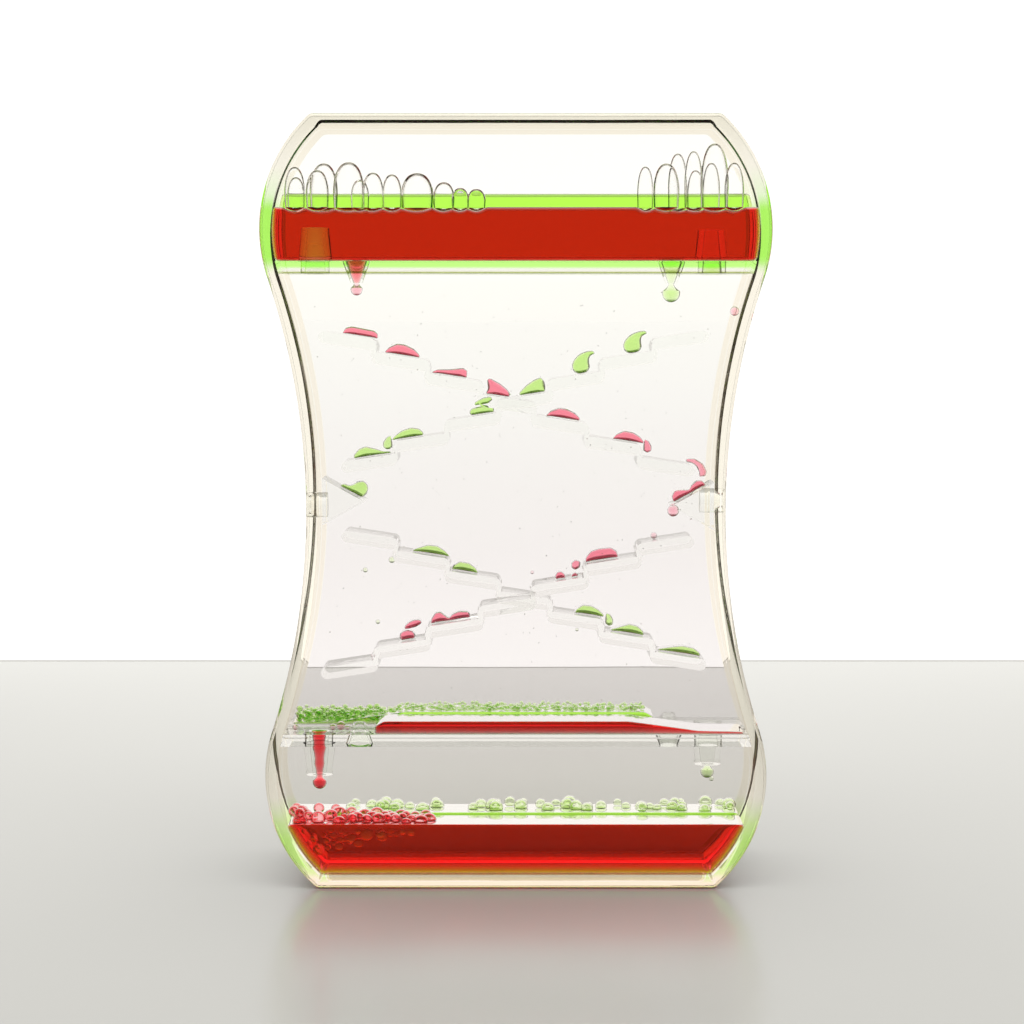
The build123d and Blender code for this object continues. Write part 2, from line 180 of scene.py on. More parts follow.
WAIST_RADIUS = (WAIST_IN**2 + BULGE_Z**2 - BULGE_RADIUS**2) / (2 * (BULGE_RADIUS - WAIST_IN))
WAIST_X = WAIST_WIDTH / 2 + WAIST_RADIUS
NECK = asin(BULGE_Z / (WAIST_RADIUS + BULGE_RADIUS))
END_PARTS, CORNER_PARTS, CURVE_PARTS = 10, 8, 40
LEVEL = 0.99999
SHARP = radians(40)


def arc(x, z, radius, start, stop, count):
    """Points of an arc from its start up to just before its end."""
    angles = [start + (stop - start) * i / count for i in range(count)]
    return [(x + radius * cos(a), z + radius * sin(a)) for a in angles]


def outline(inset):
    """Loop of the case's front view, shrunk all round by an inset."""
    bulge, waist, end_z = BULGE_RADIUS - inset, WAIST_RADIUS + inset, MID - inset
    corner_z = end_z - END_CORNER
    corner_x = BULGE_X + sqrt((bulge - END_CORNER) ** 2 - (corner_z - BULGE_Z) ** 2)
    corner_turn = atan2(corner_z - BULGE_Z, corner_x - BULGE_X)
    quarter = [(corner_x * i / END_PARTS, end_z) for i in range(END_PARTS)]
    quarter += arc(corner_x, corner_z, END_CORNER, pi / 2, corner_turn, CORNER_PARTS)
    quarter += arc(BULGE_X, BULGE_Z, bulge, corner_turn, -NECK, CURVE_PARTS)
    quarter += arc(WAIST_X, 0, waist, pi - NECK, pi, CURVE_PARTS)
    right = quarter + [(WAIST_X - waist, 0)] + [(x, -z) for x, z in reversed(quarter)]
    left = [(-x, z) for x, z in reversed(right[1:-1])]
    return [(x, z + MID) for x, z in right + left]


def lofted(name, loops, bands=None, ends=None):
    """Mesh through loops of 3-D points, closed at both ends by one face or by the faces given.

    Bands are the material numbers of the first end, of each ring of faces and of the last end.
    """
    mesh = bpy.data.meshes.new(name)
    count = len(loops[0])
    points = [point for loop in loops for point in loop]
    faces = []
    for ring in range(len(loops) - 1):
        for i in range(count):
            a, b = ring * count + i, ring * count + (i + 1) % count
            faces.append((a, b, b + count, a + count))
    ends = ends or [tuple(range(count))]
    last = len(points) - count
    faces = ends + faces + [tuple(i + last for i in end) for end in ends]
    mesh.from_pydata(points, [], faces)
    if bands:
        numbers = [bands[0]] + [band for band in bands[1:-1] for _ in range(count)] + [bands[-1]]
        mesh.polygons.foreach_set("material_index", numbers)
    return finished(mesh)


def finished(mesh):
    """Outward faces, smooth shading off the level ones and sharp edges where the surface breaks."""
    shape = bmesh.new()
    shape.from_mesh(mesh)
    bmesh.ops.recalc_face_normals(shape, faces=shape.faces)
    shape.to_mesh(mesh)
    shape.free()
    level = [max(abs(part) for part in face.normal) > LEVEL for face in mesh.polygons]
    mesh.polygons.foreach_set("use_smooth", [not flat for flat in level])
    mesh.set_sharp_from_angle(angle=SHARP)
    return mesh


def cut_away(thing, tool):
    """Takes a closed tool mesh out of an object."""
    cutter = new_object("tool", tool)
    cut = thing.modifiers.new("cut", "BOOLEAN")
    cut.object, cut.solver = cutter, "EXACT"
    bpy.context.view_layer.update()
    graph = bpy.context.evaluated_depsgraph_get()
    mesh = bpy.data.meshes.new_from_object(thing.evaluated_get(graph))
    thing.modifiers.clear()
    old, thing.data = thing.data, mesh
    bpy.data.objects.remove(cutter)
    bpy.data.meshes.remove(old)
    finished(thing.data)


def at_depth(loop, y):
    """3-D points of a front view's loop at a depth."""
    return [(x, y, z) for x, z in loop]


# Indices against air for outer faces, and against the oil for faces that it wets.
PLASTIC_IN_AIR, PLASTIC_IN_OIL, HIDDEN_IN_OIL = 1.53, 1.03, 1.0
NO_HAZE = 0.0
SMEAR = 9 * MM
MOULD_WAVE, MOULD_HEIGHT = 14 * MM, 0.004 * MM
WALL_WAVE, WALL_HEIGHT = 9 * MM, 0.012 * MM
HANDLED = 0.02
WALL_GLINT = "#E6DECF"


def clear_polystyrene(name, colour, ior, wave, height, haze, glint="#A0A0A0"):
    """Clear moulding with waves of a length and a height and a faint haze where it was handled.

    Glint is the part of the light that its reflections keep.
    """
    material, tree, shader = new_material(
        name, Base_Color=linear(colour), IOR=ior, Transmission_Weight=1.0, Specular_Tint=linear(glint))
    place = add_node(tree, "ShaderNodeTexCoord").outputs["Object"]
    waves = add_node(tree, "ShaderNodeTexNoise", {"Scale": 1 / wave, "Detail": 1.0}, {"Vector": place})
    swell = add_node(tree, "ShaderNodeBump", {"Distance": height}, {"Height": waves.outputs["Fac"]})
    tree.links.new(swell.outputs["Normal"], shader.inputs["Normal"])
    smears = add_node(tree, "ShaderNodeTexNoise", {"Scale": 1 / SMEAR, "Detail": 4.0}, {"Vector": place})
    film = add_node(tree, "ShaderNodeMapRange", {"From Min": 0.5, "From Max": 0.75, "To Max": haze},
                    {"Value": smears.outputs["Fac"]})
    tree.links.new(film.outputs["Result"], shader.inputs["Roughness"])
    return material


# Polished polystyrene in air: bright, with slow waves from the mould and a trace of handling.
polished_painted_shade = clear_polystyrene(
    "polished_polystyrene_painted_shade", "#FDFDFC", PLASTIC_IN_AIR, MOULD_WAVE, MOULD_HEIGHT, HANDLED)
# The side walls are seen along their length, where the plastic shows its own warm cream. Inside
# they meet oil of their own index, so nothing bends there and only the tint is seen.
polished_wall = clear_polystyrene(
    "polished_polystyrene_wall", "#F5EEE1", PLASTIC_IN_AIR, WALL_WAVE, WALL_HEIGHT, HANDLED, WALL_GLINT)
wetted_wall = clear_polystyrene(
    "oil_wet_polystyrene_wall", "#F7F1E6", HIDDEN_IN_OIL, WALL_WAVE, WALL_HEIGHT, NO_HAZE)
# The same plastic against oil of nearly its own index: only a faint line where it bends.
FINE_HEIGHT = 0.006 * MM
wetted = clear_polystyrene("oil_wet_polystyrene", "#FEFEFD", PLASTIC_IN_OIL, 10 * MM, FINE_HEIGHT, NO_HAZE)


def shade_by_height(material, low, high, stops):
    """Tints a material by stops of height and colour between two heights."""
    tree = material.node_tree
    place = add_node(tree, "ShaderNodeTexCoord").outputs["Object"]
    parts = add_node(tree, "ShaderNodeSeparateXYZ", links={"Vector": place})
    rise = add_node(tree, "ShaderNodeMapRange", {"From Min": low, "From Max": high},
                    {"Value": parts.outputs["Z"]})
    ramp = add_node(tree, "ShaderNodeValToRGB", links={"Fac": rise.outputs["Result"]})
    marks = ramp.color_ramp.elements
    for height, colour in stops:
        marks.new((height - low) / (high - low)).color = linear(colour)
    marks.remove(marks[-1])
    marks.remove(marks[0])
    tree.links.new(ramp.outputs["Color"], tree.nodes["Principled BSDF"].inputs["Base Color"])


# Through the windows the oil looks a little grey, more so toward the foot of the stairs; this grey is a
# painted shade on the windows' colour.
shade_by_height(polished_painted_shade, case_low.z, case_high.z, [
    (0.1 * MM, "#F6F5F2"), (22.0 * MM, "#EEEBEA"), (30.0 * MM, "#E8E4E6"), (60.0 * MM, "#E8E4E6"),
    (90.0 * MM, "#F1F0F0"), (110.0 * MM, "#F6F6F4"), (114.0 * MM, "#FDFDFC"), (139.9 * MM, "#FBFBF9")])
# The edge, where one looks along a wall: cream, with painted light of the pools seen through the wall,
# green where it stands beside the green pools and pale pink and yellow along the floor.
edge_plastic_painted_pool_light = clear_polystyrene(
    "polystyrene_edge_painted_pool_light", "#F0ECE2", PLASTIC_IN_AIR, WALL_WAVE, WALL_HEIGHT, HANDLED, WALL_GLINT)
shade_by_height(edge_plastic_painted_pool_light, case_low.z, case_high.z, [
    (0.3 * MM, "#F4DDA8"), (0.8 * MM, "#FFE9DC"), (2.0 * MM, "#FFE9DC"), (2.4 * MM, "#CBEE8C"),
    (9.0 * MM, "#C0EC80"), (13.0 * MM, "#F6F1E6"), (112.5 * MM, "#F6F1E6"), (114.5 * MM, "#ABF064"),
    (123.6 * MM, "#ABF064"), (126.0 * MM, "#E4F2D2"), (131.0 * MM, "#F2EEE4"), (139.5 * MM, "#E4DFD1")])

front, rim = tray_low.y, tray_high.y
TURNS = [radians(15 * i) for i in range(7)]
EDGE_BAND = 2.1 * MM
WINDOW, WET, SIDE, WET_SIDE, EDGE = range(5)
loops = [at_depth(outline(EDGE_BAND), front)]
loops += [at_depth(outline(EDGE_ROUND * (1 - sin(a))), front + EDGE_ROUND * (1 - cos(a)))
          for a in TURNS]
loops.append(at_depth(outline(0), rim))
loops.append(at_depth(outline(WALL), rim))
loops += [at_depth(outline(WALL + INNER_ROUND * (1 - cos(a))), front + WALL + INNER_ROUND * (1 - sin(a)))
          for a in TURNS]
bands = [WINDOW] + [EDGE] * len(TURNS) + [SIDE, WET] + [WET_SIDE] * len(TURNS) + [WET]


def rod(x, y, z, radius, length, tip=None, along=(0, 0, 1), sides=48):
    """Closed round rod or cone from a point along a direction."""
    turn = Vector((0, 0, 1)).rotation_difference(Vector(along)).to_matrix()
    ring = [Vector((cos(tau * i / sides), sin(tau * i / sides), 0)) for i in range(sides)]
    ends = ((0, radius), (length, radius if tip is None else tip))
    rings = [[Vector((x, y, z)) + turn @ (p * r + Vector((0, 0, h))) for p in ring] for h, r in ends]
    return lofted("rod", rings)


for name, turn in (("front_shell", 0), ("rear_shell", pi)):
    tray = new_object(name.replace("shell", "tray"), lofted(name, loops, bands),
                      polished_painted_shade, wetted, polished_wall, wetted_wall, edge_plastic_painted_pool_light)
    plug_y = (front + WALL + rim) / 2
    hole = rod(-WAIST_WIDTH / 2 - WALL, plug_y, MID, PLUG / 2, 3 * WALL, along=(1, 0, 0))
    hole.polygons.foreach_set("material_index", [WET] * len(hole.polygons))
    cut_away(tray, hole)
    tray.data.transform(Matrix.Rotation(turn, 4, "Z"))
    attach(tray, "case")
    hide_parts(name)

# The divider: a flat clear plate of the case's own outline that parts the two compartments, its
# edge polished in the open air between the trays and both faces wet.
PLATE_EDGE, PLATE_FACE = range(2)
bands = [PLATE_FACE, PLATE_EDGE, PLATE_FACE]
loops = [at_depth(outline(0), y) for y in (case_low.y, case_high.y)]
divider = new_object("divider", lofted("divider", loops, bands), polished_wall, wetted)
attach(divider, "case")
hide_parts("divider_plate")

# The inserts, clear mouldings glued into the trays: shelves, standpipes, drip nozzles, flights of
# steps, turn ledges and fill plugs. They lie in oil, so they show as soft light and dark lines.
INSERT_IN_OIL, SHELF_IN_OIL = 1.1, 1.06
INSERT_WAVE, BOND_WAVE = 6 * MM, 4 * MM
immersed = clear_polystyrene(
    "immersed_polystyrene", "#FCFDFB", INSERT_IN_OIL, INSERT_WAVE, FINE_HEIGHT, NO_HAZE)
# A shelf lies against the coloured pools and carries their light along inside it; that light is painted
# onto its colour, olive along its foot and green along its top.
shelf_plastic_painted_pool_light = clear_polystyrene(
    "shelf_polystyrene_painted_pool_light", "#F6F6F3", SHELF_IN_OIL, INSERT_WAVE, 0.01 * MM, NO_HAZE)
low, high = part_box("front_upper_shelf")
shade_by_height(shelf_plastic_painted_pool_light, low.z, high.z, [
    (low.z, "#B4BC88"), (low.z + 0.3 * MM, "#C8D09C"), (low.z + 0.5 * MM, "#F8F8F5"),
    (low.z + 1.1 * MM, "#F8F8F5"), (low.z + 1.4 * MM, "#DEFEBC"), (high.z - 0.1 * MM, "#DEFEBC")])
# Pipes and funnels are glued through the shelves, and the glue fills their seams.
bonded = clear_polystyrene(
    "bonded_polystyrene", "#FCFDFB", PLASTIC_IN_OIL, BOND_WAVE, FINE_HEIGHT, NO_HAZE)
INSERTS = {"upper_shelf": shelf_plastic_painted_pool_light, "lower_shelf": immersed, "upper_standpipe": bonded,
           "lower_standpipe": bonded, "upper_drip_nozzle": bonded, "lower_drip_nozzle": bonded,
           "upper_steps": immersed, "lower_steps": immersed, "turn_ledge": bonded, "fill_plug": immersed}
for side in ("front", "rear"):
    for name, plastic in INSERTS.items():
        frame["nodes"][f"{side}_{name}"].material_slots[0].material = plastic

# The oil: clear mineral oil of nearly the plastic's index that fills each compartment. What shows
# of it is a haze of tiny air bubbles that hang between the windows and the drops.
SPECKS, SPECK_SIZES = 150, (0.05, 0.13)
SPECK_GAP, SPECK_RISE, SPECK_SPREAD = 0.2 * MM, 3 * MM, 0.95
AIR_IN_OIL, SMOOTH = 0.75, 0.0
# Air in oil: clear, with a rim that turns light away.
air = clear_polystyrene("air_in_oil", "#FFFFFF", AIR_IN_OIL, 1 * MM, SMOOTH, NO_HAZE)
oil_random = random.Random(11)


def wall_x(z):
    """Half of the inside width of the case at a height."""
    rise = abs(z - MID)
    if rise > BULGE_Z - (BULGE_RADIUS - WALL) * sin(NECK):
        return BULGE_X + sqrt((BULGE_RADIUS - WALL) ** 2 - (rise - BULGE_Z) ** 2)
    return WAIST_X - sqrt((WAIST_RADIUS + WALL) ** 2 - rise**2)


FINER_FROM = (0.2 * MM, 0.5 * MM, 1.2 * MM)
BALL_SHARP = radians(60)
BALLS = []
for fine in range(len(FINER_FROM) + 1):
    shape = bmesh.new()
    bmesh.ops.create_icosphere(shape, subdivisions=fine + 1, radius=1)
    sides = [tuple(v.index for v in face.verts) for face in shape.faces]
    BALLS.append(([v.co.copy() for v in shape.verts], sides))
    shape.free()


def balls(name, places, foot=None):
    """Mesh of balls, each with its centre and radius; a foot flattens them below a height."""
    points, faces = [], []
    for centre, radius in places:
        form, sides = BALLS[sum(radius > size for size in FINER_FROM)]
        start = len(points)
        points += [Vector(centre) + p * radius for p in form]
        faces += [tuple(start + i for i in side) for side in sides]
    if foot is not None:
        points = [(p.x, p.y, max(p.z, foot)) for p in points]
    mesh = bpy.data.meshes.new(name)
    mesh.from_pydata(points, [], faces)
    mesh.polygons.foreach_set("use_smooth", [True] * len(mesh.polygons))
    mesh.set_sharp_from_angle(angle=BALL_SHARP)
    return mesh


STAIRS_LOW, STAIRS_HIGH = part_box("front_lower_shelf")[1].z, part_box("front_upper_shelf")[0].z
for side in ("front", "rear"):
    low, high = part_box(f"{side}_clear_oil")
    drop_low, drop_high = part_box("red_upper_drop_1" if side == "front" else "green_upper_drop_1")
    lane = (low.y, drop_low.y) if side == "front" else (drop_high.y, high.y)
    lane = (lane[0] + SPECK_GAP, lane[1] - SPECK_GAP)
    specks = []
    for _ in range(SPECKS):
        radius = oil_random.uniform(*SPECK_SIZES) * MM
        z = oil_random.uniform(STAIRS_LOW + SPECK_RISE, STAIRS_HIGH - SPECK_RISE)
        x = oil_random.uniform(-SPECK_SPREAD, SPECK_SPREAD) * (wall_x(z) - MM)
        specks.append(((x, oil_random.uniform(*lane), z), radius))
    name = f"{side}_oil_bubbles"
    haze = new_object(name, balls(name, specks), air)
    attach(haze, "case")
    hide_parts(f"{side}_clear_oil")


# The dyed liquids: water with a clear dye, which light crosses and leaves coloured. Where a drop
# lies on plastic the light can't leave it, so its foot is painted dark: a painted shade.
WATER_IN_OIL = 0.93


def dyed_water(name, dye, density, foot):
    """Water that takes up light by its depth, with a colour for the painted shade on its foot."""
    material, tree, shader = new_material(name, Roughness=0.0, IOR=WATER_IN_OIL, Transmission_Weight=1.0)
    painted_shade_mask = add_node(tree, "ShaderNodeAttribute", attribute_name="foot")
    shade = add_node(tree, "ShaderNodeMix", {"A": (1, 1, 1, 1), "B": linear(foot)},
                     {"Factor": painted_shade_mask.outputs["Fac"]}, data_type="RGBA")
    tree.links.new(shade.outputs["Result"], shader.inputs["Base Color"])
    bath = add_node(tree, "ShaderNodeVolumeAbsorption", {"Color": (*dye, 1), "Density": density})
    tree.links.new(bath.outputs["Volume"], tree.nodes["Material Output"].inputs["Volume"])
    return material


# In a drop the dyes are pale, pink and light green; a pool is deep enough to show them full.
# Each one's last colour is the painted shade on the foot of a drop or bead.
liquids = {
    "red": dyed_water("red_dyed_water", (1.0, 0.0, 0.22), 295, "#96303F"),
    "green": dyed_water("green_dyed_water", (0.60, 0.92, 0.0), 280, "#5A7828"),
}
pools = {
    "red": dyed_water("red_pool_water", (1.0, 0.0, 0.0), 350, "#7A1018"),
    "green": dyed_water("green_pool_water", (0.69, 0.985, 0.0), 200, "#4F7020"),
}


# The standing pools, on the upper shelf, on the lower shelf and on the floor of each compartment:
# slabs of liquid whose edges draw back from the plastic in a small round.
CORNER_CUTS, FEWEST = 3, 32
ROOM, AHEAD = 0.8, 0.001
NEAR = range(-2, 3)


def rounded(points, longest, spacing):
    """Closed outline with round corners, its points evenly spaced."""
    loop = []
    for (ax, az), (bx, bz) in zip(points, points[1:] + points[:1]):
        parts = ceil(hypot(bx - ax, bz - az) / longest)
        loop += [(ax + (bx - ax) * i / parts, az + (bz - az) * i / parts) for i in range(parts)]
    for _ in range(CORNER_CUTS):
        ends = list(zip(loop, loop[1:] + loop[:1]))
        loop = [(a[0] + (b[0] - a[0]) * s, a[1] + (b[1] - a[1]) * s)
                for a, b in ends for s in (0.25, 0.75)]
    ends = loop[1:] + loop[:1]
    lengths = [hypot(b[0] - a[0], b[1] - a[1]) for a, b in zip(loop, ends)]
    count = max(FEWEST, round(sum(lengths) / spacing))
    step = sum(lengths) / count
    even, side, passed = [], 0, 0.0
    for i in range(count):
        while passed + lengths[side] < i * step and side < len(loop) - 1:
            passed += lengths[side]
            side += 1
        even.append(Vector(loop[side]).lerp(Vector(ends[side]), (i * step - passed) / lengths[side]))
    return even


def inward(loop):
    """Unit directions into a closed outline at its points."""
    area = sum(a.x * b.y - b.x * a.y for a, b in zip(loop, loop[1:] + loop[:1]))
    turn = 1 if area > 0 else -1
    ways = [b - a for a, b in zip(loop[-1:] + loop[:-1], loop[1:] + loop[:1])]
    return [Vector((-way.y, way.x)).normalized() * turn for way in ways]


def shrinking(loop, most):
    """An outline drawn in step by step round an edge, as far as circles inside it leave room."""
    ways = inward(loop)
    room = []
    for point, way in zip(loop, ways):
        gaps = [other - point for other in loop]
        circles = [gap.length_squared / (2 * gap.dot(way))
                   for gap in gaps if gap.dot(way) > AHEAD * most]
        room.append(min([ROOM * radius for radius in circles] + [most]))
    room = [min(room[(i + k) % len(loop)] for k in NEAR) for i in range(len(loop))]
    room = [sum(room[(i + k) % len(loop)] for k in NEAR) / len(NEAR) for i in range(len(loop))]
    return [[p + way * size * (1 - cos(a)) for p, way, size in zip(loop, ways, room)] for a in TURNS]


def pillow(name, outlines, place, y_low, y_high, edge, deep_edge, longest, spacing):
    """Liquid between two depths with round edges.

    Place turns an outline's point and a depth into a point of the scene.
    """
    shape = bmesh.new()
    for points in outlines:
        insets = shrinking(rounded(points, longest, spacing), edge)
        rounds = [deep_edge * (1 - sin(a)) for a in TURNS]
        near = [[place(*p, y_low + depth) for p in loop] for loop, depth in zip(insets, rounds)]
        far = [[place(*p, y_high - depth) for p in loop] for loop, depth in zip(insets, rounds)]
        count = len(insets[-1])
        flat = delaunay_2d_cdt(insets[-1], [(i, (i + 1) % count) for i in range(count)], [], 1, 0)
        ends = [tuple(flat[3][i][0] for i in face) for face in flat[2]]
        part = lofted(name, near[::-1] + far, ends=ends)
        shape.from_mesh(part)
        bpy.data.meshes.remove(part)
    mesh = bpy.data.meshes.new(name)
    shape.to_mesh(mesh)
    shape.free()
    return finished(mesh)


def hollowed(mesh, hollow):
    """Takes a closed form that lies inside a mesh out of it."""
    shape = bmesh.new()
    shape.from_mesh(mesh)
    solid = set(shape.faces)
    shape.from_mesh(hollow)
    bmesh.ops.reverse_faces(shape, faces=[face for face in shape.faces if face not in solid])
    bpy.data.meshes.remove(hollow)
    shape.to_mesh(mesh)
    shape.free()


def upright(x, z, y):
    """Place of an outline that is drawn in the case's own x and z."""
    return Vector((x, y, z))


SIDE_PARTS, HALF_TOP_PARTS = 8, 90


def pool_outline(z_low, z_high, gap, top=None):
    """Front view of a pool that reaches both side walls, its top level or given at an x."""
    heights = [z_low + (z_high - z_low) * i / SIDE_PARTS for i in range(SIDE_PARTS + 1)]
    right = [(wall_x(z) - gap, z) for z in heights]
    half = right[-1][0]
    across = [half * (1 - i / HALF_TOP_PARTS) for i in range(1, 2 * HALF_TOP_PARTS)] if top else []
    return right + [(x, top(x)) for x in across] + [(-x, z) for x, z in reversed(right)]


# Bubbles that lie on the upper red pool and dent it, each with its x, half width and top in mm.
UPPER_FOAM = [
    (-39.6, 1.9, 130.8), (-34.6, 2.6, 131.6), (-30.1, 2.9, 131.8), (-25.7, 2.0, 129.9),
    (-22.2, 1.8, 129.5), (-17.8, 3.0, 129.9), (-13.0, 2.0, 128.3), (-10.0, 1.6, 127.2),
    (-7.1, 1.7, 127.0), (-39.4, 1.6, 129.0), (-35.5, 2.1, 130.2), (-28.0, 1.7, 128.6),
    (23.3, 1.5, 131.0), (26.9, 2.4, 131.4), (29.2, 1.8, 133.4), (31.8, 1.7, 133.6),
    (35.6, 2.6, 135.0), (39.0, 1.8, 131.5), (35.4, 1.6, 131.8), (32.4, 1.5, 130.4)]
DENT = 0.7 * MM
FILM = 0.05 * MM
PIPE_RIM_RADIUS = 2.45 * MM
PIPE_BORE_BASE, PIPE_BORE_TIP = 2.0 * MM, 1.2 * MM
POOL_EDGE, POOL_LONGEST, POOL_SPACING = 0.9 * MM, 1.5 * MM, 0.5 * MM
SHELF_EDGE, SHELF_LONGEST, SHELF_SPACING = 0.7 * MM, 1.2 * MM, 0.4 * MM
TAPER, THIN = 14 * MM, 0.5 * MM
SHOULDER_RUN, SHOULDER_DROP = 1.6 * MM, 0.9 * MM
red_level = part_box("red_upper_pool")[1].z


def axis_of(low, high):
    """x, y of the upright axis through the middle of a box."""
    return (low.x + high.x) / 2, (low.y + high.y) / 2


def dented(x):
    """Height of the upper red pool's top at an x."""
    dents = [1 - ((x / MM - middle) / half) ** 2 for middle, half, _ in UPPER_FOAM]
    return red_level - DENT * max(0, *dents)


for colour, side in (("red", "front"), ("green", "rear")):
    for kind in ("upper_pool", "lower_pool"):
        node = f"{colour}_{kind}"
        low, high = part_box(node)
        upper = kind == "upper_pool"
        z_low = max(low.z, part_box(f"{side}_upper_shelf")[1].z + FILM) if upper else low.z
        points = pool_outline(z_low, high.z, FILM, dented if node == "red_upper_pool" else None)
        mesh = pillow(node, [points], upright, low.y, high.y,
                      POOL_EDGE, POOL_EDGE, POOL_LONGEST, POOL_SPACING)
        if upper:
            pipe_low, pipe_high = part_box(f"{side}_upper_standpipe")
            x, y = axis_of(pipe_low, pipe_high)
            length = pipe_high.z - z_low + FILM
            wide = (pipe_high.x - pipe_low.x) / 2
            hollowed(mesh, rod(x, y, z_low + FILM, wide + FILM, length, PIPE_RIM_RADIUS + FILM))
            if colour == "green":
                # The rear pipe has filled with liquid, so it hardly shows in its pool.
                length = pipe_high.z - pipe_low.z - 2 * FILM
                bore = rod(x, y, pipe_low.z + FILM, PIPE_BORE_BASE - FILM, length, PIPE_BORE_TIP - FILM)
                fill = new_object("green_pipe_liquid", bore, pools["green"])
                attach(fill, "case")
        pool = new_object(node.replace("pool", "liquid"), mesh, pools[colour])
        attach(pool, "case")
        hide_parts(node)
    # On the lower shelf the pool has a blunt end and runs out in a thin tongue.
    node = f"{colour}_shelf_pool"
    low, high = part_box(node)
    way = 1 if colour == "red" else -1
    near, far = (low.x, high.x) if way > 0 else (high.x, low.x)
    points = [(near, low.z), (near, high.z - SHOULDER_DROP), (near + way * SHOULDER_RUN, high.z),
              (far - way * 1.5 * TAPER, high.z), (far - way * 0.6 * TAPER, low.z + 1.4 * THIN),
              (far, low.z + THIN), (far, low.z)]
    mesh = pillow(node, [points], upright, low.y, high.y,
                  SHELF_EDGE, POOL_EDGE, SHELF_LONGEST, SHELF_SPACING)
    pool = new_object(node.replace("pool", "liquid"), mesh, pools[colour])
    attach(pool, "case")
    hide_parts(node)


# The drops on the steps: each keeps the shape the stream left it in, a slab, a dome, a wedge or a
# comma, lying on its step on a flat foot with a painted shade. Outlines are in mm from the middle
# of the foot, with downhill first and up second.
def seat(node):
    """Puts an outline's point, downhill and up from a CAD drop's foot, in the scene."""
    joint = next(j for j in frame["joints"] if j["child"] == node)
    down = Vector(joint["axis"])
    up = Vector((-down.z, 0, down.x)) * (1 if down.x > 0 else -1)
    points = [v.co for v in frame["nodes"][node].data.vertices]
    along = [p.dot(down) for p in points]
    foot = down * (min(along) + max(along)) / 2 + up * min(p.dot(up) for p in points)
    return lambda run, rise, y: foot + down * run * MM + up * rise * MM + Vector((0, y, 0)), up


PAINTED_SHADE_FROM, PAINTED_SHADE_BLEND = 0.6, 0.3


def paint_foot_shade(mesh, up):
    """Marks the underside of a drop, where it lies on plastic, for its painted shade."""
    foot = mesh.attributes.new("foot", "FLOAT", "POINT")
    values = [min(max((-v.normal.dot(up) - PAINTED_SHADE_FROM) / PAINTED_SHADE_BLEND, 0.0), 1.0) for v in mesh.vertices]
    foot.data.foreach_set("value", values)


